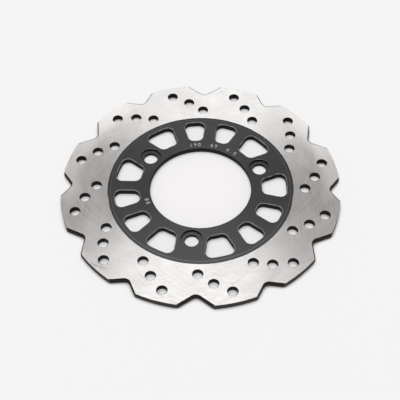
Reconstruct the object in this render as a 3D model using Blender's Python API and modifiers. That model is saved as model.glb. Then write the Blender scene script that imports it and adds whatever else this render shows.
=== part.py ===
"""Wave brake disc: a ground steel friction ring around a black-coated carrier that bolts to a wheel hub.

The disc lies flat with its axis on Z and the carrier's hub face at z = 0. One bolt hole lies on -Y.
"""
import math

import bmesh
import bpy
from mathutils import Matrix, Vector

MM = 0.001
DEGREE = math.pi / 180.0

# Friction ring
OUTER_DIAMETER = 190.0 * MM
RING_THICKNESS = 4.0 * MM
FIT_CLEARANCE = 0.3 * MM
RING_TURN = 6.2 * DEGREE

# Scallops in the rim: deep and shallow ones alternate, each a V with a round nose
SCALLOP_PAIRS = 6
DEEP_SCALLOP = 8.1 * MM
SHALLOW_SCALLOP = 6.6 * MM
SCALLOP_FLANK = 36.5 * DEGREE
SCALLOP_NOSE_RADIUS = 3.8 * MM
SCALLOP_LAG = 0.4 * DEGREE

# Drilled holes: slanting rows, one row to each scallop
HOLES_IN_ROW = 3
HOLE_DIAMETER = 7.0 * MM
HOLE_INNER_MARGIN = 7.7 * MM
HOLE_OUTER_MARGIN = 8.5 * MM
HOLE_STEP_ANGLE = 7.53 * DEGREE

# Carrier
CARRIER_DIAMETER = 126.0 * MM
CARRIER_THICKNESS = 4.4 * MM
RIM_LEDGE_WIDTH = 1.5 * MM
RIM_SHOULDER_RUN = 0.4 * MM
BORE_DIAMETER = 69.0 * MM
BORE_CHAMFER = 0.7 * MM

# Bolt holes, counterbored from above
BOLT_COUNT = 3
FIRST_BOLT_ANGLE = -90.0 * DEGREE
BOLT_INSET = 9.5 * MM
BOLT_HOLE_DIAMETER = 9.5 * MM
COUNTERBORE_DIAMETER = 14.7 * MM
COUNTERBORE_DEPTH = 1.8 * MM

# Windows: between two bolt pads, spokes of one width part them
INNER_BAND = 7.5 * MM
OUTER_BAND = 4.3 * MM
PAD_WIDTH = 20.6 * MM
SPOKE_WIDTH = 8.7 * MM
SPOKES_BETWEEN_PADS = 3
SPOKE_PITCH = 24.0 * DEGREE
WINDOW_CORNER_RADIUS = 4.3 * MM
WINDOW_EDGE_CHAMFER = 0.85 * MM

# Facets
TURN_STEPS = 120
HOLE_STEPS = 20
BOLT_STEPS = 32
NOSE_STEPS = 6
CORNER_STEPS = 5
WINDOW_ARC_STEPS = 4

# A face whose normal leans less than this out of the level is a wall, and is shaded smooth
WALL_LEAN = 0.5

# How far cutters stand past what they cut, and how near points are merged
CUT_PAST = 2.0 * MM
MERGE = 0.01 * MM

# Finishes
STEEL_COLOUR = (0.62, 0.60, 0.58)
STEEL_ROUGHNESS = 0.32
STEEL_METALLIC = 1.0
COATING_COLOUR = (0.055, 0.055, 0.06)
COATING_ROUGHNESS = 0.45
COATING_METALLIC = 0.0

outer_radius = OUTER_DIAMETER / 2
carrier_radius = CARRIER_DIAMETER / 2
ring_inner_radius = carrier_radius + FIT_CLEARANCE
bore_radius = BORE_DIAMETER / 2
bolt_circle_radius = bore_radius + BOLT_INSET
mid_height = CARRIER_THICKNESS / 2
sector = 2 * math.pi / BOLT_COUNT


def point_at(radius, angle):
    return Vector((radius * math.cos(angle), radius * math.sin(angle)))


def arc(centre, radius, start, end, steps):
    """Points along an arc, both ends included."""
    return [centre + point_at(radius, start + (end - start) * i / steps) for i in range(steps + 1)]


def material(name, colour, roughness, metallic):
    made = bpy.data.materials.new(name)
    made.use_nodes = True
    shader = made.node_tree.nodes["Principled BSDF"]
    shader.inputs["Base Color"].default_value = (*colour, 1.0)
    shader.inputs["Roughness"].default_value = roughness
    shader.inputs["Metallic"].default_value = metallic
    made.diffuse_color = (*colour, 1.0)
    return made


def add(name, data, collection, parent=None):
    made = bpy.data.objects.new(name, data)
    collection.objects.link(made)
    made.parent = parent
    return made


def add_cutter(name, data, collection, parent):
    made = add(name, data, collection, parent)
    made.hide_render = True
    made.display_type = "WIRE"
    return made


def evaluated_mesh(made):
    """The object's mesh as its modifiers or its curve settings leave it, welded, with its walls smooth."""
    mesh = bpy.data.meshes.new_from_object(made.evaluated_get(bpy.context.evaluated_depsgraph_get()))
    shape = bmesh.new()
    shape.from_mesh(mesh)
    bmesh.ops.remove_doubles(shape, verts=shape.verts, dist=MERGE)
    bmesh.ops.recalc_face_normals(shape, faces=shape.faces)
    for face in shape.faces:
        face.smooth = abs(face.normal.z) < WALL_LEAN
    shape.to_mesh(mesh)
    shape.free()
    return mesh


def turned_mesh(name, profile, steps, closed):
    """A profile of (radius, height) points, down the outer side first, turned about Z."""
    count = len(profile)
    edges = [(i, (i + 1) % count) for i in range(count if closed else count - 1)]
    line = bpy.data.meshes.new(name)
    line.from_pydata([(radius, 0.0, height) for radius, height in profile], edges, [])
    guide = add(name, line, bpy.context.scene.collection)
    turn = guide.modifiers.new("Turn", "SCREW")
    turn.steps = steps
    turn.render_steps = steps
    turn.use_merge_vertices = True
    turn.merge_threshold = MERGE
    mesh = evaluated_mesh(guide)
    bpy.data.objects.remove(guide)
    mesh.name = name
    return mesh


def plate_mesh(name, outline, half_height):
    """A flat outline made solid, from half_height below its plane to half_height above it."""
    flat = bpy.data.curves.new(name, "CURVE")
    flat.dimensions = "2D"
    flat.fill_mode = "BOTH"
    flat.extrude = half_height
    spline = flat.splines.new("POLY")
    spline.points.add(len(outline) - 1)
    for spot, place in zip(spline.points, outline):
        spot.co = (place.x, place.y, 0.0, 1.0)
    spline.use_cyclic_u = True
    guide = add(name, flat, bpy.context.scene.collection)
    mesh = evaluated_mesh(guide)
    bpy.data.objects.remove(guide)
    mesh.name = name
    return mesh


def lofted_mesh(name, rings):
    """A closed solid through rings of equally many points, each an (outline, height) pair, lowest first."""
    shape = bmesh.new()
    loops = [[shape.verts.new((p.x, p.y, height)) for p in outline] for outline, height in rings]
    shape.faces.new(reversed(loops[0]))
    shape.faces.new(loops[-1])
    count = len(loops[0])
    for low, high in zip(loops, loops[1:]):
        for i in range(count):
            after = (i + 1) % count
            side = shape.faces.new((low[i], low[after], high[after], high[i]))
            side.smooth = True
    mesh = bpy.data.meshes.new(name)
    shape.to_mesh(mesh)
    shape.free()
    return mesh


def cut(target, collection):
    """Takes every cutter in the collection out of the target."""
    boolean = target.modifiers.new("Cut", "BOOLEAN")
    boolean.operation = "DIFFERENCE"
    boolean.solver = "EXACT"
    boolean.operand_type = "COLLECTION"
    boolean.collection = collection


def scallop_outline(depth):
    """A V that opens along +X, with a round nose depth inside the rim."""
    nose_centre = Vector((outer_radius - depth + SCALLOP_NOSE_RADIUS, 0.0))
    turn = math.pi / 2 - SCALLOP_FLANK
    nose = arc(nose_centre, SCALLOP_NOSE_RADIUS, math.pi + SCALLOP_FLANK, math.pi - SCALLOP_FLANK, NOSE_STEPS)
    reach = (depth + CUT_PAST) / math.cos(turn)
    low_end = nose[0] + point_at(reach, -turn)
    high_end = nose[-1] + point_at(reach, turn)
    return [low_end] + nose + [high_end]


def window_outline(start, start_half, end, end_half, grow):
    """The outline between two spokes, given by the angle and half width of each, moved outwards by grow.

    The sides run along the spokes, the other two edges are arcs about the axis, and the corners are round.
    """
    low_radius = bore_radius + INNER_BAND - grow
    high_radius = carrier_radius - OUTER_BAND + grow
    corner = WINDOW_CORNER_RADIUS + grow

    def corner_centre(angle, half, side, radius):
        off = half - grow + corner
        along = math.sqrt(radius * radius - off * off)
        return point_at(along, angle) + point_at(off, angle + side * math.pi / 2)

    def heading(vector):
        return math.atan2(vector.y, vector.x)

    def corner_arc(centre, from_angle, to_angle):
        sweep = (to_angle - from_angle) % (2 * math.pi)
        return arc(centre, corner, from_angle, from_angle + sweep, CORNER_STEPS)

    start_low = corner_centre(start, start_half, 1, low_radius + corner)
    start_high = corner_centre(start, start_half, 1, high_radius - corner)
    end_high = corner_centre(end, end_half, -1, high_radius - corner)
    end_low = corner_centre(end, end_half, -1, low_radius + corner)
    origin = Vector((0.0, 0.0))
    outer = arc(origin, high_radius, heading(start_high), heading(end_high), WINDOW_ARC_STEPS)
    inner = arc(origin, low_radius, heading(end_low), heading(start_low), WINDOW_ARC_STEPS)
    outline = corner_arc(start_low, heading(start_low) + math.pi, start - math.pi / 2)
    outline += corner_arc(start_high, start - math.pi / 2, heading(start_high))
    outline += outer[1:-1]
    outline += corner_arc(end_high, heading(end_high), end + math.pi / 2)
    outline += corner_arc(end_low, end + math.pi / 2, heading(end_low) + math.pi)
    return outline + inner[1:-1]


def window_mesh(name, start, start_half, end, end_half):
    """A window's cutter, which flares at both faces of the carrier to chamfer the edges."""
    wide = window_outline(start, start_half, end, end_half, WINDOW_EDGE_CHAMFER)
    wider = window_outline(start, start_half, end, end_half, WINDOW_EDGE_CHAMFER + CUT_PAST)
    narrow = window_outline(start, start_half, end, end_half, 0.0)
    face = CARRIER_THICKNESS / 2
    wall = face - WINDOW_EDGE_CHAMFER
    past = face + CUT_PAST
    rings = [(wider, -past), (wide, -face), (narrow, -wall), (narrow, wall), (wide, face), (wider, past)]
    return lofted_mesh(name, rings)


def make_friction_ring(collection, cutters, axis, steel):
    half = RING_THICKNESS / 2
    profile = [
        (outer_radius, half),
        (outer_radius, -half),
        (ring_inner_radius, -half),
        (ring_inner_radius, half),
    ]
    ring = add("friction_ring", turned_mesh("friction_ring", profile, TURN_STEPS, True), collection, axis)
    ring.rotation_euler.z = RING_TURN
    ring.data.materials.append(steel)

    scallop_count = 2 * SCALLOP_PAIRS
    pitch = 2 * math.pi / scallop_count
    depths = (DEEP_SCALLOP, SHALLOW_SCALLOP)
    scallops = [plate_mesh("scallop", scallop_outline(depth), half + CUT_PAST) for depth in depths]
    first_row = ring_inner_radius + HOLE_INNER_MARGIN
    last_row = outer_radius - HOLE_OUTER_MARGIN
    row_step = (last_row - first_row) / (HOLES_IN_ROW - 1)
    drill_reach = half + CUT_PAST
    drill_profile = [
        (0.0, drill_reach),
        (HOLE_DIAMETER / 2, drill_reach),
        (HOLE_DIAMETER / 2, -drill_reach),
        (0.0, -drill_reach),
    ]
    drill = turned_mesh("drill", drill_profile, HOLE_STEPS, False)
    for i in range(scallop_count):
        row_angle = FIRST_BOLT_ANGLE + i * pitch
        scallop = add_cutter(f"scallop_cutter_{i + 1}", scallops[i % 2], cutters, ring)
        scallop.rotation_euler.z = row_angle - SCALLOP_LAG
        for j in range(HOLES_IN_ROW):
            place = point_at(first_row + j * row_step, row_angle + j * HOLE_STEP_ANGLE)
            hole = add_cutter(f"hole_cutter_{i + 1}_{j + 1}", drill, cutters, ring)
            hole.location = (place.x, place.y, 0.0)
    cut(ring, cutters)


def make_carrier(collection, cutters, axis, coating):
    rim_half = RING_THICKNESS / 2
    face = CARRIER_THICKNESS / 2
    ledge_radius = carrier_radius - RIM_LEDGE_WIDTH
    plateau_radius = ledge_radius - RIM_SHOULDER_RUN
    chamfer_radius = bore_radius + BORE_CHAMFER
    chamfer_height = face - BORE_CHAMFER
    profile = [
        (plateau_radius, face),
        (ledge_radius, rim_half),
        (carrier_radius, rim_half),
        (carrier_radius, -rim_half),
        (ledge_radius, -rim_half),
        (plateau_radius, -face),
        (chamfer_radius, -face),
        (bore_radius, -chamfer_height),
        (bore_radius, chamfer_height),
        (chamfer_radius, face),
    ]
    carrier = add("carrier", turned_mesh("carrier", profile, TURN_STEPS, True), collection, axis)
    carrier.data.materials.append(coating)

    past = face + CUT_PAST
    seat = face - COUNTERBORE_DEPTH
    bolt_profile = [
        (0.0, past),
        (COUNTERBORE_DIAMETER / 2, past),
        (COUNTERBORE_DIAMETER / 2, seat),
        (BOLT_HOLE_DIAMETER / 2, seat),
        (BOLT_HOLE_DIAMETER / 2, -past),
        (0.0, -past),
    ]
    bolt = turned_mesh("bolt_cut", bolt_profile, BOLT_STEPS, False)

    # Bolt pads and spokes, as (angle, half width), round one sector from a pad to the next
    middle = (SPOKES_BETWEEN_PADS - 1) / 2
    ribs = [(0.0, PAD_WIDTH / 2)]
    for i in range(SPOKES_BETWEEN_PADS):
        ribs.append((sector / 2 + (i - middle) * SPOKE_PITCH, SPOKE_WIDTH / 2))
    ribs.append((sector, PAD_WIDTH / 2))
    windows = [window_mesh("window", *low, *high) for low, high in zip(ribs, ribs[1:])]

    for i in range(BOLT_COUNT):
        angle = FIRST_BOLT_ANGLE + i * sector
        place = point_at(bolt_circle_radius, angle)
        hole = add_cutter(f"bolt_cutter_{i + 1}", bolt, cutters, carrier)
        hole.location = (place.x, place.y, 0.0)
        for j, mesh in enumerate(windows):
            window = add_cutter(f"window_cutter_{i + 1}_{j + 1}", mesh, cutters, carrier)
            window.rotation_euler.z = angle
    cut(carrier, cutters)


def new_collection(name, parent):
    made = bpy.data.collections.new(name)
    parent.children.link(made)
    return made


def main():
    for old in list(bpy.data.objects):
        bpy.data.objects.remove(old)
    scene_collection = bpy.context.scene.collection
    disc = new_collection("wave_brake_disc", scene_collection)
    cutters = new_collection("cutters", scene_collection)
    ring_cutters = new_collection("ring_cutters", cutters)
    carrier_cutters = new_collection("carrier_cutters", cutters)

    axis = add("disc_axis", None, disc)
    axis.matrix_world = Matrix.Translation((0.0, 0.0, mid_height))
    steel = material("ground_steel", STEEL_COLOUR, STEEL_ROUGHNESS, STEEL_METALLIC)
    coating = material("black_coating", COATING_COLOUR, COATING_ROUGHNESS, COATING_METALLIC)
    make_friction_ring(disc, ring_cutters, axis, steel)
    make_carrier(disc, carrier_cutters, axis, coating)


main()
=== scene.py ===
import math

import bmesh
import bpy
from mathutils import Matrix, Vector


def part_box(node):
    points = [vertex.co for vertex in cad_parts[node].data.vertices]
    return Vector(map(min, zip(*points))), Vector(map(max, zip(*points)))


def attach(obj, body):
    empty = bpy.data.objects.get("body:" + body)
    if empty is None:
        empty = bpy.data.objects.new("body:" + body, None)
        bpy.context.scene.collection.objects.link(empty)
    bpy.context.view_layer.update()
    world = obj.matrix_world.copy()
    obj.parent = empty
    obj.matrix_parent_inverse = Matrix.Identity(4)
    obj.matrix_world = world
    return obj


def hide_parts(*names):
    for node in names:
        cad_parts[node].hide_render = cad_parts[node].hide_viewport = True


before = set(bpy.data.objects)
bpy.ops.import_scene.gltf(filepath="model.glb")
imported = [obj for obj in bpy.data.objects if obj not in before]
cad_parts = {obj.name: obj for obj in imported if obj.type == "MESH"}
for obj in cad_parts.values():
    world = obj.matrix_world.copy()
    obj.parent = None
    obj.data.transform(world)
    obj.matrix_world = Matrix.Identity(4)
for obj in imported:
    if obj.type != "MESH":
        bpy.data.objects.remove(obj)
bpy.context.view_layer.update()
mm = 0.001
weldReach = 0.001 * mm
flatNormal = 0.99  # a face is flat where its normal's z is past this
wallNormal = 0.3  # and a wall where it is under this
sharpest = 35  # degrees that are still shaded smooth
print("frame loaded:", sorted(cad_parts))

# shared modelling helpers


def makeActive(piece):
    bpy.ops.object.select_all(action="DESELECT")
    piece.select_set(True)
    bpy.context.view_layer.objects.active = piece


def pick(piece, kind, rule):  # edit mode, with only the faces or edges that the rule takes selected
    makeActive(piece)
    bpy.ops.object.mode_set(mode="EDIT")
    bpy.ops.mesh.select_mode(type=kind)
    bpy.ops.mesh.select_all(action="DESELECT")
    shape = bmesh.from_edit_mesh(piece.data)
    for item in shape.faces if kind == "FACE" else shape.edges:
        if rule(item):
            item.select_set(True)
    bmesh.update_edit_mesh(piece.data)


def leaveEdit():
    bpy.ops.object.mode_set(mode="OBJECT")


def settle(piece):  # the object to the origin, its place into its mesh
    makeActive(piece)
    bpy.ops.object.transform_apply(location=True, rotation=True, scale=True)


def addCylinder(name, radius, low, high, steps):
    bpy.ops.object.select_all(action="DESELECT")
    middle = (0, 0, (low + high) / 2)
    bpy.ops.mesh.primitive_cylinder_add(vertices=steps, radius=radius, depth=high - low, location=middle)
    piece = bpy.context.object
    piece.name = name
    settle(piece)
    return piece


def polar(radius, angle):
    return Vector((radius * math.cos(angle), radius * math.sin(angle), 0))


def traceSolid(name, start, moves, low, high):  # one vertex walks round the outline, by runs and spins
    bpy.ops.object.select_all(action="DESELECT")
    bpy.ops.mesh.primitive_plane_add(size=mm)
    piece = bpy.context.object
    piece.name = name
    bpy.ops.object.mode_set(mode="EDIT")
    bpy.ops.mesh.select_mode(type="VERT")
    bpy.ops.mesh.select_all(action="SELECT")
    bpy.ops.mesh.merge(type="CENTER")
    spot = start + Vector((0, 0, low))
    bpy.ops.transform.translate(value=spot)
    for move in moves:
        if len(move) == 1:
            target = move[0] + Vector((0, 0, low))
            bpy.ops.mesh.extrude_vertices_move(TRANSFORM_OT_translate={"value": target - spot})
            spot = target
        else:
            centre, angle, steps = move
            bpy.ops.mesh.spin(steps=steps, angle=-angle, center=centre, axis=(0, 0, 1))  # spins clockwise
            spot = centre + Matrix.Rotation(angle, 3, "Z") @ (spot - centre)
    bpy.ops.mesh.select_all(action="SELECT")
    bpy.ops.mesh.remove_doubles(threshold=weldReach)
    bpy.ops.mesh.edge_face_add()
    bpy.ops.mesh.extrude_region_move(TRANSFORM_OT_translate={"value": (0, 0, high - low)})
    bpy.ops.mesh.select_all(action="SELECT")
    bpy.ops.mesh.normals_make_consistent(inside=False)
    leaveEdit()
    return piece


def copyTo(piece, move):
    twin = piece.copy()
    twin.data = piece.data.copy()
    bpy.context.scene.collection.objects.link(twin)
    twin.data.transform(move)
    return twin


def cutAway(piece, cutters):
    makeActive(cutters[0])
    for cutter in cutters:
        cutter.select_set(True)
    bpy.ops.object.join()
    tool = bpy.context.object
    boolean = piece.modifiers.new("cut", "BOOLEAN")
    boolean.operation = "DIFFERENCE"
    boolean.object = tool
    makeActive(piece)
    bpy.ops.object.modifier_apply(modifier="cut")
    bpy.data.objects.remove(tool)


def bevelEdges(piece, rule, width, steps):
    pick(piece, "EDGE", rule)
    bpy.ops.mesh.bevel(offset=width, segments=steps, affect="EDGES", clamp_overlap=False)
    leaveEdit()


def smoothOff(piece):
    makeActive(piece)
    bpy.ops.object.shade_smooth_by_angle(angle=math.radians(sharpest))
    weighted = piece.modifiers.new("flats", "WEIGHTED_NORMAL")
    weighted.keep_sharp = True
    bpy.ops.object.modifier_apply(modifier="flats")


def isFlat(face):
    return abs(face.normal.z) > flatNormal


def isWall(face):
    return abs(face.normal.z) < wallNormal


def isRimEdge(edge):  # between a flat face and a wall
    faces = edge.link_faces
    return len(faces) == 2 and any(map(isFlat, faces)) and any(map(isWall, faces))


def edgeSpot(edge):
    return (edge.verts[0].co + edge.verts[1].co) / 2


# friction ring

ringSpec = {
    "turn": math.radians(6.2),
    "firstRow": math.radians(-90),
    "rimSteps": 24,  # along one lobe
    "innerRadius": 63.3 * mm,
    "innerSteps": 360,
    "scallops": 12,
    "depths": (8.1 * mm, 6.6 * mm),  # deep and shallow take turns
    "flank": math.radians(36.5),
    "noseRadius": 3.8 * mm,
    "noseSteps": 12,
    "lag": math.radians(0.4),
    "holeRadius": 3.5 * mm,
    "holeSteps": 48,
    "holeRows": (71 * mm, 78.75 * mm, 86.5 * mm),
    "holeStep": math.radians(7.53),
    "scallopRound": (0.75 * mm, 4),  # the blanked edges, rolled over: width and steps
    "holeRound": (0.2 * mm, 3),
    "fineRound": (0.12 * mm, 2),  # the turned rim and the inner edge
    "rolledNormal": 0.985,  # rolled edges take the cut finish up to this slope
    "holeReach": 0.3 * mm,  # how near an edge is a hole's own
    "rimReach": 0.05 * mm,
    "noseReach": 1 * mm,
    "past": 2 * mm,
}


def makeRing(spec):
    low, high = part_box("friction_ring")
    outer = high.x
    bottom = low.z - spec["past"]
    top = high.z + spec["past"]
    axis = Vector((0, 0, 0))
    pitch = 2 * math.pi / spec["scallops"]
    rows = [spec["firstRow"] + spec["turn"] + i * pitch for i in range(spec["scallops"])]
    notches = []
    for i, row in enumerate(rows):  # each notch: where it leaves the rim, its nose, and where it comes back
        depth = spec["depths"][i % 2]
        nose = Vector((outer - depth + spec["noseRadius"], 0, 0))
        last = nose + polar(spec["noseRadius"], math.pi - spec["flank"])
        rise = polar(1, math.pi / 2 - spec["flank"])
        along = last.dot(rise)
        tip = last + rise * (math.sqrt(along ** 2 + outer ** 2 - last.length_squared) - along)
        flip = Matrix.Scale(-1, 3, (0, 1, 0))
        turned = Matrix.Rotation(row - spec["lag"], 3, "Z")
        notches.append([turned @ spot for spot in (flip @ tip, flip @ last, nose, tip)])
    moves = []
    for notch, following in zip(notches, notches[1:] + notches[:1]):
        first, nose, tip = notch[1:]
        arc = math.atan2(following[0].y, following[0].x) - math.atan2(tip.y, tip.x)
        moves += [
            (first,),
            (nose, -2 * spec["flank"], spec["noseSteps"]),
            (tip,),
            (axis, arc % (2 * math.pi), spec["rimSteps"]),
        ]
    ring = traceSolid("ground_ring", notches[0][0], moves, low.z, high.z)
    holeSpots = []
    for row in rows:
        holeSpots += [polar(reach, row + j * spec["holeStep"]) for j, reach in enumerate(spec["holeRows"])]

    def byHole(spot):
        return min((spot.xy - hole.xy).length for hole in holeSpots) < spec["holeRadius"] + spec["holeReach"]

    def inScallop(spot):
        deepest = outer - max(spec["depths"]) - spec["noseReach"]
        return deepest < spot.xy.length < outer - spec["rimReach"] and not byHole(spot)

    bevelEdges(ring, lambda edge: isRimEdge(edge) and inScallop(edgeSpot(edge)), *spec["scallopRound"])
    cutters = [addCylinder("innerCut", spec["innerRadius"], bottom, top, spec["innerSteps"])]
    drill = addCylinder("drill", spec["holeRadius"], bottom, top, spec["holeSteps"])
    cutters += [copyTo(drill, Matrix.Translation(spot)) for spot in holeSpots]
    bpy.data.objects.remove(drill)
    cutAway(ring, cutters)
    bevelEdges(ring, lambda edge: isRimEdge(edge) and byHole(edgeSpot(edge)), *spec["holeRound"])
    bevelEdges(ring, lambda edge: isRimEdge(edge) and not byHole(edgeSpot(edge)), *spec["fineRound"])
    smoothOff(ring)

    def isCutFace(face):
        spot = face.center
        onRim = spot.xy.length > outer - spec["fineRound"][0]
        rolled = onRim or inScallop(spot) or byHole(spot)
        return abs(face.normal.z) < (spec["rolledNormal"] if rolled else wallNormal)

    return ring, isCutFace


ring, isCutFace = makeRing(ringSpec)
print("ring modelled:", len(ring.data.polygons), "faces")

# carrier

carrierSpec = {
    "steps": 360,
    "ledge": 1.5 * mm,
    "shoulder": 0.4 * mm,
    "boreRadius": 34.5 * mm,
    "boreChamfer": (0.7 * mm, 3),  # width and steps
    "bolts": 3,
    "firstBolt": math.radians(-90),
    "boltCircle": 44 * mm,
    "boltRadius": 4.75 * mm,
    "seatRadius": 7.35 * mm,
    "seatDepth": 1.8 * mm,
    "boltSteps": 64,
    "windowInner": 42 * mm,
    "windowOuter": 58.7 * mm,
    "padHalf": 10.3 * mm,
    "spokeHalf": 4.35 * mm,
    "spokePitch": math.radians(24),
    "corner": 4.3 * mm,
    "cornerSteps": 10,
    "arcSteps": 10,
    "windowRound": (0.7 * mm, 4),
    "fineRound": (0.17 * mm, 2),
    "reach": 1 * mm,  # how near an edge is a feature's own
    "seatReach": 0.1 * mm,
    "faceReach": 0.05 * mm,
    "past": 2 * mm,
}


def makeWindow(spec, start, startHalf, end, endHalf, low, high):
    corner = spec["corner"]

    def cornerCentre(angle, half, side, radius):
        off = half + corner
        return polar(math.sqrt(radius ** 2 - off ** 2), angle) + polar(off, angle + side * math.pi / 2)

    def heading(place):
        return math.atan2(place.y, place.x)

    def bend(centre, fromAngle, toAngle):
        return centre, (toAngle - fromAngle) % (2 * math.pi), spec["cornerSteps"]

    innerLine = spec["windowInner"] + corner
    outerLine = spec["windowOuter"] - corner
    startLow = cornerCentre(start, startHalf, 1, innerLine)
    startHigh = cornerCentre(start, startHalf, 1, outerLine)
    endHigh = cornerCentre(end, endHalf, -1, outerLine)
    endLow = cornerCentre(end, endHalf, -1, innerLine)
    startSide = start - math.pi / 2
    endSide = end + math.pi / 2
    axis = Vector((0, 0, 0))
    moves = [
        bend(startLow, heading(startLow) + math.pi, startSide),
        (startHigh + polar(corner, startSide),),
        bend(startHigh, startSide, heading(startHigh)),
        (axis, heading(endHigh) - heading(startHigh), spec["arcSteps"]),
        bend(endHigh, heading(endHigh), endSide),
        (endLow + polar(corner, endSide),),
        bend(endLow, endSide, heading(endLow) + math.pi),
        (axis, heading(startLow) - heading(endLow), spec["arcSteps"]),
    ]
    return traceSolid("windowCut", startLow + polar(corner, heading(startLow) + math.pi), moves, low, high)


def makeBoltCut(spec, low, high, seat):
    cut = addCylinder("boltCut", spec["seatRadius"], seat, high, spec["boltSteps"])
    pick(cut, "FACE", lambda face: face.normal.z < -flatNormal)
    bpy.ops.mesh.inset(thickness=spec["seatRadius"] - spec["boltRadius"])
    bpy.ops.mesh.extrude_region_move(TRANSFORM_OT_translate={"value": (0, 0, low - seat)})
    leaveEdit()
    return cut


def makeCarrier(spec):
    low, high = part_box("carrier")
    rimLow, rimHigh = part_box("friction_ring")
    radius = high.x
    carrier = addCylinder("coated_carrier", radius, rimLow.z, rimHigh.z, spec["steps"])
    ledgeRadius = radius - spec["ledge"]
    shrink = (ledgeRadius - spec["shoulder"]) / ledgeRadius
    for side, rise in ((1, high.z - rimHigh.z), (-1, low.z - rimLow.z)):  # raised faces, above and below
        pick(carrier, "FACE", lambda face: face.normal.z * side > flatNormal)
        bpy.ops.mesh.inset(thickness=spec["ledge"])
        bpy.ops.mesh.extrude_region_move(TRANSFORM_OT_translate={"value": (0, 0, rise)})
        bpy.ops.transform.resize(value=(shrink, shrink, 1))
        leaveEdit()
    bottom = low.z - spec["past"]
    top = high.z + spec["past"]
    cutters = [addCylinder("boreCut", spec["boreRadius"], bottom, top, spec["steps"])]
    sector = 2 * math.pi / spec["bolts"]
    ribs = [(0, spec["padHalf"])]
    ribs += [(sector / 2 + i * spec["spokePitch"], spec["spokeHalf"]) for i in (-1, 0, 1)]
    ribs += [(sector, spec["padHalf"])]
    windows = [makeWindow(spec, *a, *b, bottom, top) for a, b in zip(ribs, ribs[1:])]
    bolt = makeBoltCut(spec, bottom, top, high.z - spec["seatDepth"])
    boltSpots = []
    for i in range(spec["bolts"]):
        angle = spec["firstBolt"] + i * sector
        boltSpots.append(polar(spec["boltCircle"], angle))
        cutters.append(copyTo(bolt, Matrix.Translation(boltSpots[i])))
        cutters += [copyTo(window, Matrix.Rotation(angle, 4, "Z")) for window in windows]
    for used in windows + [bolt]:
        bpy.data.objects.remove(used)
    cutAway(carrier, cutters)
    near = spec["reach"]

    def fromAxis(edge):
        return edgeSpot(edge).xy.length

    def fromBolt(edge):
        return min((edgeSpot(edge).xy - centre.xy).length for centre in boltSpots)

    def byBore(edge):
        return isRimEdge(edge) and fromAxis(edge) < spec["boreRadius"] + near

    def byBolt(edge):
        return isRimEdge(edge) and fromBolt(edge) < spec["seatRadius"] + near

    def byBoltOutward(edge):  # leaves out the inner corner at a counterbore's floor
        offSeat = abs(edgeSpot(edge).z - (high.z - spec["seatDepth"])) > spec["seatReach"]
        return byBolt(edge) and (offSeat or fromBolt(edge) < spec["seatRadius"] - near)

    def byWindow(edge):
        across = spec["windowInner"] - near < fromAxis(edge) < spec["windowOuter"] + near
        return isRimEdge(edge) and across and not byBolt(edge)

    def byShoulder(edge):
        height = edgeSpot(edge).z
        atFace = min(abs(height - high.z), abs(height - low.z)) < spec["faceReach"]
        outside = fromAxis(edge) > spec["windowOuter"] + near
        return atFace and outside and len(edge.link_faces) == 2 and not all(map(isFlat, edge.link_faces))

    bevelEdges(carrier, byWindow, *spec["windowRound"])
    bevelEdges(carrier, byBore, *spec["boreChamfer"])
    bevelEdges(carrier, byBoltOutward, *spec["fineRound"])
    bevelEdges(carrier, byShoulder, *spec["fineRound"])
    smoothOff(carrier)
    return carrier


carrier = makeCarrier(carrierSpec)
print("carrier modelled:", len(carrier.data.polygons), "faces")

for piece, node, slot in ((ring, "friction_ring", "ground_steel"), (carrier, "carrier", "black_coating")):
    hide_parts(node)
    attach(piece, "root")

# etched sizes on the carrier's face

markSpec = {
    "lines": (("190  69  4.0", math.radians(83.2), 2.85 * mm), ("88", math.radians(-153.5), 2.95 * mm)),
    "baseRadius": 36.5 * mm,
    "letterSize": 4 * mm,
    "proud": 0.004 * mm,
}


def makeMarks(spec):
    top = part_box("carrier")[1].z
    digits = []
    for line, middle, pitch in spec["lines"]:
        for i, digit in enumerate(line):
            if digit == " ":
                continue
            bpy.ops.object.select_all(action="DESELECT")
            bpy.ops.object.text_add()
            text = bpy.context.object
            text.data.body = digit
            text.data.align_x = "CENTER"
            text.data.size = spec["letterSize"]
            text.data.extrude = spec["proud"]
            bpy.ops.object.convert(target="MESH")
            angle = middle - (i - (len(line) - 1) / 2) * pitch / spec["baseRadius"]
            turned = Matrix.Rotation(angle - math.pi / 2, 4, "Z")
            place = polar(spec["baseRadius"], angle) + Vector((0, 0, top))
            text.matrix_world = Matrix.Translation(place) @ turned
            settle(text)
            digits.append(text)
    makeActive(digits[0])
    for digit in digits:
        digit.select_set(True)
    bpy.ops.object.join()
    marks = bpy.context.object
    marks.name = "etched_sizes"
    bpy.ops.object.mode_set(mode="EDIT")
    bpy.ops.mesh.select_all(action="SELECT")
    bpy.ops.mesh.remove_doubles(threshold=weldReach)
    bpy.ops.mesh.normals_make_consistent(inside=False)
    leaveEdit()
    return marks


marks = makeMarks(markSpec)
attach(marks, "root")
print("sizes etched:", len(marks.data.polygons), "faces")

# finishes: one wrapped socket, with its maths written as expressions


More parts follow.
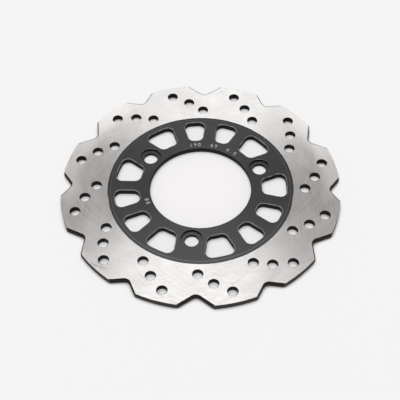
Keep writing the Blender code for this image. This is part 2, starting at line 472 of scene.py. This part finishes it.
class Wire:
    def __init__(self, tree, socket):
        self.tree = tree
        self.socket = socket

    def node(self, kind, settings, sockets, out=0):
        made = self.tree.nodes.new(kind)
        for name, value in settings.items():
            if name == "stops":
                elements = made.color_ramp.elements
                while len(elements) < len(value):
                    elements.new(1)
                for stop, (place, colour) in zip(elements, value):
                    stop.position = place
                    stop.color = (*colour, 1)
            else:
                setattr(made, name, value)
        for name, value in sockets.items():
            if isinstance(value, Wire):
                self.tree.links.new(value.socket, made.inputs[name])
            else:
                made.inputs[name].default_value = value
        return Wire(self.tree, made.outputs[out])

    def maths(self, operation, first, second=0.0):
        return self.node("ShaderNodeMath", {"operation": operation}, {0: first, 1: second})

    def __add__(self, other):
        return self.maths("ADD", self, other)

    def __radd__(self, other):
        return self.maths("ADD", other, self)

    def __sub__(self, other):
        return self.maths("SUBTRACT", self, other)

    def __rsub__(self, other):
        return self.maths("SUBTRACT", other, self)

    def __mul__(self, other):
        return self.maths("MULTIPLY", self, other)

    def __rmul__(self, other):
        return self.maths("MULTIPLY", other, self)

    def __truediv__(self, other):
        return self.maths("DIVIDE", self, other)

    def __rtruediv__(self, other):
        return self.maths("DIVIDE", other, self)

    def root(self):
        return self.maths("SQRT", self)

    def parts(self):
        split = self.node("ShaderNodeSeparateXYZ", {}, {0: self})
        return [Wire(self.tree, socket) for socket in split.socket.node.outputs]

    def fade(self, low, high):  # 0 at low, 1 at high, eased between
        settings = {"interpolation_type": "SMOOTHSTEP"}
        return self.node("ShaderNodeMapRange", settings, {0: self, 1: low, 2: high})

    def grain(self, detail, scale=1.0):
        sockets = {"Vector": self, "Scale": scale, "Detail": detail, "Roughness": 0.55}
        return self.node("ShaderNodeTexNoise", {}, sockets)

    def tint(self, first, second):  # this mask goes from the first colour to the second
        settings = {"data_type": "RGBA"}
        colours = [c if isinstance(c, Wire) else (*c, 1) for c in (first, second)]
        return self.node("ShaderNodeMix", settings, {0: self, 6: colours[0], 7: colours[1]}, 2)

    def feed(self, shader, name):
        self.tree.links.new(self.socket, shader.inputs[name])

    def emboss(self, shader, depth):
        sockets = {"Strength": 1.0, "Distance": depth, "Height": self}
        self.node("ShaderNodeBump", {}, sockets).feed(shader, "Normal")


def newFinish(name, constants):  # the shader, and Object coordinates in millimetres
    made = bpy.data.materials.new(name)
    made.use_nodes = True
    tree = made.node_tree
    shader = tree.nodes["Principled BSDF"]
    for socket, value in constants.items():
        shader.inputs[socket].default_value = value
    spot = Wire(tree, tree.nodes.new("ShaderNodeTexCoord").outputs["Object"])
    place = spot.node("ShaderNodeVectorMath", {"operation": "SCALE"}, {0: spot, "Scale": 1 / mm})
    return made, shader, place


def joined(x, y, z):
    wire = next(part for part in (x, y, z) if isinstance(part, Wire))
    return wire.node("ShaderNodeCombineXYZ", {}, {0: x, 1: y, 2: z})


def fromCentre(x, y):
    return (x * x + y * y).root()


steelSpec = {
    "constants": {"Metallic": 1, "Anisotropic": 0.88, "Anisotropic Rotation": 0.25},
    "light": (0.752, 0.75, 0.744),
    "dark": (0.588, 0.585, 0.578),
    "paintedSheen": (0.97, 0.955, 0.935),  # painted highlight: a lighter outer band at the sides
    "scuff": (0.24, 0.23, 0.22),
    "roughness": 0.52,
    "streakRough": 1.4,
    "cloudRough": 0.08,
    "scuffRough": 0.12,
    "wheelRadius": 69,
    "wheelOffset": 33.7,
    "coarse": (48, 0.06),  # streaks: scale across and along
    "coarseShare": 0.32,
    "fine": (150, 0.25),
    "fineShare": 0.18,
    "passShift": 7,
    "cloudScale": 0.06,
    "cloudShare": 0.25,
    "shadeFade": (0.42, 0.58),
    "sheenAcross": (45, 78),  # where the painted highlight band fades in, in millimetres
    "sheenTilt": 0.145,
    "sheenLevel": (-18, 2),
    "sheenOut": (79, 90),
    "sheenShare": 0.85,
    "scuffAngle": math.radians(-128.5),
    "scuffRadius": 91,
    "scuffFade": (1, 8.5),
    "scuffGrain": (0.53, 0.62),
    "scuffShare": 0.85,
    "bumpDepth": 0.09 * mm,
}


def makeSteel(spec):
    made, shader, place = newFinish("ground_steel", spec["constants"])
    x, y = place.parts()[:2]
    radius = fromCentre(x, y)
    angle = place.maths("ARCTAN2", y, x)
    wheel, offset = spec["wheelRadius"], spec["wheelOffset"]
    reach = (radius * radius + (offset ** 2 - wheel ** 2)) / (radius * (2 * offset))
    lean = reach.maths("ARCCOSINE", reach)

    def passes(side, across, along):  # streaks along the arcs that a cup wheel leaves
        turn = angle + lean * side
        sweep = [turn.maths(wave, turn) * across for wave in ("COSINE", "SINE")]
        return joined(*sweep, radius * along + side * spec["passShift"]).grain(3)

    coarse = [passes(side, *spec["coarse"]) for side in (1, -1)]
    fine = [passes(side, *spec["fine"]) for side in (1, -1)]
    broad = coarse[0] * spec["coarseShare"] + coarse[1] * spec["coarseShare"]
    streaks = broad + fine[0] * spec["fineShare"] + fine[1] * spec["fineShare"]
    clouds = place.grain(3, spec["cloudScale"])
    cloudShare = spec["cloudShare"]
    shade = (streaks * (1 - cloudShare) + clouds * cloudShare).fade(*spec["shadeFade"])
    ground = shade.tint(spec["dark"], spec["light"])
    # painted highlight: the ground colour is lightened in an outer band at the sides
    side = x.maths("ABSOLUTE", x).fade(*spec["sheenAcross"])
    level = (y - x * spec["sheenTilt"]).fade(*spec["sheenLevel"])
    sheenBand = side * level * radius.fade(*spec["sheenOut"]) * spec["sheenShare"]
    ground = sheenBand.tint(ground, spec["paintedSheen"])
    dx = x - spec["scuffRadius"] * math.cos(spec["scuffAngle"])
    dy = y - spec["scuffRadius"] * math.sin(spec["scuffAngle"])
    scuffs = (1 - fromCentre(dx, dy).fade(*spec["scuffFade"])) * fine[1].fade(*spec["scuffGrain"])
    (scuffs * spec["scuffShare"]).tint(ground, spec["scuff"]).feed(shader, "Base Color")
    rough = spec["roughness"] + (streaks - 0.5) * spec["streakRough"]
    rough = rough + (clouds - 0.5) * spec["cloudRough"] + scuffs * spec["scuffRough"]
    rough.feed(shader, "Roughness")
    streaks.emboss(shader, spec["bumpDepth"])
    return made


cutSpec = {
    "constants": {"Metallic": 0, "Specular IOR Level": 0.1},
    "turned": (0.042, 0.040, 0.037),  # the rim
    "blankedWallAndShade": (0.013, 0.012, 0.010),  # scallops and holes: the cut steel's dark tone, made darker than the rim as painted shade
    "streak": (0.090, 0.082, 0.074),
    "roughness": 0.55,
    "tearRough": 0.3,
    "spotRough": 0.2,
    "tearScale": (2.2, 0.25),  # across the wall and down it
    "tearFade": (0.5, 0.72),
    "spotScale": 0.5,
    "rimFade": (94.4, 94.8),
    "blankedShare": 0.25,
    "turnedShare": 0.45,  # more of the streaks on the rim
    "bumpDepth": 0.03 * mm,
}


def makeCutEdge(spec):
    made, shader, place = newFinish("blanked_edge", spec["constants"])
    x, y, height = place.parts()
    across, down = spec["tearScale"]
    tears = joined(x * across, y * across, height * down).grain(3)
    spots = place.grain(3, spec["spotScale"])
    rim = fromCentre(x, y).fade(*spec["rimFade"])
    # scallop and hole walls take a darker colour than the rim: the cut steel's tone plus painted shade
    bare = rim.tint(spec["blankedWallAndShade"], spec["turned"])
    rubbedAndPaintedHighlight = tears.fade(*spec["tearFade"]) * (spec["blankedShare"] + rim * spec["turnedShare"])
    rubbedAndPaintedHighlight.tint(bare, spec["streak"]).feed(shader, "Base Color")
    rough = spec["roughness"] + (tears - 0.5) * spec["tearRough"] + (spots - 0.5) * spec["spotRough"]
    rough.feed(shader, "Roughness")
    tears.emboss(shader, spec["bumpDepth"])
    return made


coatSpec = {
    "name": "satin_black",
    "constants": {
        "Metallic": 0,
        "Anisotropic": 0.45,
        "Anisotropic Rotation": 0.25,
        "Specular IOR Level": 0.5,
    },
    "light": (0.024, 0.024, 0.028),
    "dark": (0.014, 0.014, 0.017),
    "ledge": (0.018, 0.018, 0.019),
    # colour of a painted highlight line on the shoulder round the raised face
    "rubbedAndPaintedHighlight": (0.11, 0.11, 0.112),
    # wear on the windows' rounded edges, lightened further as a painted highlight
    "wearAndPaintedHighlight": (0.42, 0.415, 0.41),
    "roughness": 0.40,
    "orangeRough": 0.12,
    "cloudRough": 0.08,
    "edgeRough": -0.2,
    "orangeScale": 2.4,  # the sprayed coat's fine texture
    "cloudScale": 0.09,
    "turningScale": (3.5, 0.6, 0.2),  # out, round and up
    "shares": (0.35, 0.3, 0.35),  # orange, clouds and turning
    "shadeFade": (0.36, 0.64),
    "ledgeOut": (61.4, 61.8),
    "ledgeUp": (4.35, 4.28),
    "ledgeShare": 0.8,
    "shoulderIn": (60.9, 61.2),
    "shoulderOut": (61.4, 61.6),
    "shoulderUp": (2, 3),
    "shoulderShare": 0.6,
    "edgeUp": (4.0, 4.2),  # the windows' rounded edges, by height and radius
    "edgeTop": (4.37, 4.395),
    "edgeIn": (39.7, 41),
    "edgeOut": (59.8, 59.4),
    "wearAndHighlightScale": 0.4,
    "wearAndHighlightFade": (0.25, 0.6),
    "wearAndHighlightShare": 0.55,
    "bumpShares": (0.7, 0.3),  # orange and turning
    "bumpDepth": 0.012 * mm,
}


def makeCoat(spec):
    made, shader, place = newFinish(spec["name"], spec["constants"])
    x, y, z = place.parts()
    radius = fromCentre(x, y)
    angle = place.maths("ARCTAN2", y, x)
    orange = place.grain(2, spec["orangeScale"])
    clouds = place.grain(3, spec["cloudScale"])
    out, about, up = spec["turningScale"]
    turning = joined(radius * out, angle * about, z * up).grain(2)
    shares = spec["shares"]
    shade = (orange * shares[0] + clouds * shares[1] + turning * shares[2]).fade(*spec["shadeFade"])
    coat = shade.tint(spec["dark"], spec["light"])
    ledge = radius.fade(*spec["ledgeOut"]) * z.fade(*spec["ledgeUp"])
    coat = (ledge * spec["ledgeShare"]).tint(coat, spec["ledge"])
    # painted highlight: a lighter line along the shoulder
    shoulder = radius.fade(*spec["shoulderIn"]) * (1 - radius.fade(*spec["shoulderOut"]))
    shoulder = shoulder * z.fade(*spec["shoulderUp"])
    coat = (shoulder * spec["shoulderShare"]).tint(coat, spec["rubbedAndPaintedHighlight"])
    edge = z.fade(*spec["edgeUp"]) * (1 - z.fade(*spec["edgeTop"]))
    edge = edge * radius.fade(*spec["edgeIn"]) * radius.fade(*spec["edgeOut"])
    # wear on the windows' rounded edges, partly a painted highlight line
    wearAndPaintedHighlight = edge * place.grain(3, spec["wearAndHighlightScale"]).fade(*spec["wearAndHighlightFade"]) * spec["wearAndHighlightShare"]
    wearAndPaintedHighlight.tint(coat, spec["wearAndPaintedHighlight"]).feed(shader, "Base Color")
    rough = spec["roughness"] + (orange - 0.5) * spec["orangeRough"]
    rough = rough + (clouds - 0.5) * spec["cloudRough"] + edge * spec["edgeRough"]
    rough.feed(shader, "Roughness")
    relief = orange * spec["bumpShares"][0] + turning * spec["bumpShares"][1]
    relief.emboss(shader, spec["bumpDepth"])
    return made


wallSpec = {
    **coatSpec,
    "name": "dull_black_painted_shade",  # down the windows, holes and bore the coat is dull, with a darker colour as painted shade
    "constants": {"Metallic": 0, "Specular IOR Level": 0.1},
    # painted shade: darker colours than the face for the walls
    "light": (0.016, 0.016, 0.017),
    "dark": (0.009, 0.009, 0.010),
    "roughness": 0.6,
}

etchSpec = {
    "constants": {"Metallic": 0.2, "Specular IOR Level": 0.3},
    "light": (0.62, 0.61, 0.60),
    "dark": (0.32, 0.315, 0.31),
    "dotScale": 1.6,
    "dotFade": (0.38, 0.62),
    "dotRough": 0.3,
    "roughness": 0.6,
}


def makeEtch(spec):
    made, shader, place = newFinish("etched_grey", spec["constants"])
    dots = place.grain(3, spec["dotScale"])
    dots.fade(*spec["dotFade"]).tint(spec["dark"], spec["light"]).feed(shader, "Base Color")
    (spec["roughness"] + (dots - 0.5) * spec["dotRough"]).feed(shader, "Roughness")
    return made


def dress(piece, *finishes):
    piece.data.materials.clear()
    for finish in finishes:
        piece.data.materials.append(finish)


dress(ring, makeSteel(steelSpec), makeCutEdge(cutSpec))
for face in ring.data.polygons:
    face.material_index = 1 if isCutFace(face) else 0
dress(carrier, makeCoat(coatSpec), makeCoat(wallSpec))
for face in carrier.data.polygons:
    face.material_index = 1 if isWall(face) else 0
dress(marks, makeEtch(etchSpec))
print("finishes made:", [m.name for piece in (ring, carrier, marks) for m in piece.data.materials])

# floor, light and camera

cameraSpec = {
    "azimuth": math.radians(8.262),
    "elevation": math.radians(51.579),
    "roll": math.radians(-0.766),
    "distance": 670.54 * mm,
    "focalPixels": 984.13,
    "imagePixels": 400,
    "discPixel": (200.543, 186.799),
    "sensor": 36,
    "clip": 10 * mm,
}

studioSpec = {
    "floorSize": 8,
    "floorDrop": 0.02 * mm,
    "floorColour": (0.945, 0.945, 0.945),
    "paper": (0.913, 0.913, 0.913),  # what the floor shows the camera, in part
    "paperShare": 0.3,  # within the disc
    "contactReach": 5 * mm,
    "contactFade": (0.5, 0.85),  # how open the floor is, from a dark contact to openShare
    "openShare": 0.8,  # round the disc, and all of it at the end of paperFade
    "discFade": (84, 87),
    "paperFade": (110, 330),
    "lampPlace": (-0.14, 0.4, 2.07),  # right, away and up from the disc, as the camera sees it
    "lampWidth": 1.79,
    "lampDepth": 1.4,
    "lampWatts": 33.6,
    "sky": (  # by the sine of the height above the floor
        (0.0, (1.0, 0.928, 0.91)),
        (0.18, (0.738, 0.684, 0.67)),
        (0.45, (0.306, 0.285, 0.279)),
        (1.0, (0.306, 0.285, 0.279)),
    ),
}


def makeStudio(spec, azimuth):
    bpy.ops.object.select_all(action="DESELECT")
    bpy.ops.mesh.primitive_plane_add(size=spec["floorSize"], location=(0, 0, -spec["floorDrop"]))
    floor = bpy.context.object
    floor.name = "floor"
    made, shader, place = newFinish("pale_floor", {"Roughness": 0.9, "Specular IOR Level": 0.0})
    shader.inputs["Base Color"].default_value = (*spec["floorColour"], 1)
    tree = made.node_tree
    path = tree.nodes.new("ShaderNodeLightPath").outputs
    seen = [Wire(tree, path[name]) for name in ("Is Camera Ray", "Is Glossy Ray", "Is Transmission Ray")]
    rays = seen[0] + seen[1] + seen[2]
    radius = fromCentre(*place.parts()[:2])
    contact = place.node("ShaderNodeAmbientOcclusion", {}, {"Distance": spec["contactReach"]}, "AO")
    around = contact.fade(*spec["contactFade"]) * spec["openShare"]
    near = spec["paperShare"] + radius.fade(*spec["discFade"]) * (around - spec["paperShare"])
    distance = radius.fade(*spec["paperFade"])
    share = rays.maths("MINIMUM", rays, 1) * (near + distance * (1 - near))
    paper = share.node("ShaderNodeEmission", {}, {"Color": (*spec["paper"], 1)})
    sockets = {0: share, 1: Wire(tree, shader.outputs[0]), 2: paper}
    mixed = share.node("ShaderNodeMixShader", {}, sockets)
    mixed.feed(tree.nodes["Material Output"], "Surface")
    dress(floor, made)
    turned = Matrix.Rotation(azimuth, 4, "Z")
    bpy.ops.object.select_all(action="DESELECT")
    bpy.ops.object.light_add(type="AREA")
    lamp = bpy.context.object
    lamp.matrix_world = turned @ Matrix.Translation(spec["lampPlace"])
    lamp.data.shape = "RECTANGLE"
    lamp.data.size = spec["lampWidth"]
    lamp.data.size_y = spec["lampDepth"]
    lamp.data.energy = spec["lampWatts"]
    world = bpy.data.worlds.new("studio")
    bpy.context.scene.world = world
    world.use_nodes = True
    tree = world.node_tree
    height = Wire(tree, tree.nodes.new("ShaderNodeTexCoord").outputs["Generated"]).parts()[2]
    sky = height.node("ShaderNodeValToRGB", {"stops": spec["sky"]}, {0: height})
    direct = Wire(tree, tree.nodes.new("ShaderNodeLightPath").outputs["Is Camera Ray"])
    direct.tint(sky, spec["paper"]).feed(tree.nodes["Background"], "Color")


makeStudio(studioSpec, cameraSpec["azimuth"])


def makeCamera(spec):
    half = spec["imagePixels"] / 2
    u, v = spec["discPixel"]
    sight = Vector(((u - half) / spec["focalPixels"], (half - v) / spec["focalPixels"], -1)).normalized()
    target = Vector((0, 0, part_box("friction_ring")[1].z))
    around = Matrix.Rotation(-spec["azimuth"], 4, "Z")
    tilted = Matrix.Rotation(spec["elevation"] - math.pi / 2, 4, "X")
    rolled = Matrix.Rotation(-spec["roll"], 4, "Z")
    aim = Vector((0, 0, -1)).rotation_difference(sight).to_matrix().to_4x4()
    turned = aim @ rolled @ tilted @ around
    seen = Matrix.Translation(sight * spec["distance"]) @ turned @ Matrix.Translation(-target)
    data = bpy.data.cameras.new("camera")
    data.sensor_width = spec["sensor"]
    data.lens = spec["focalPixels"] / spec["imagePixels"] * spec["sensor"]
    data.clip_start = spec["clip"]
    camera = bpy.data.objects.new("camera", data)
    bpy.context.scene.collection.objects.link(camera)
    camera.matrix_world = seen.inverted()
    bpy.context.scene.camera = camera


makeCamera(cameraSpec)
bpy.context.scene.view_settings.view_transform = "Standard"
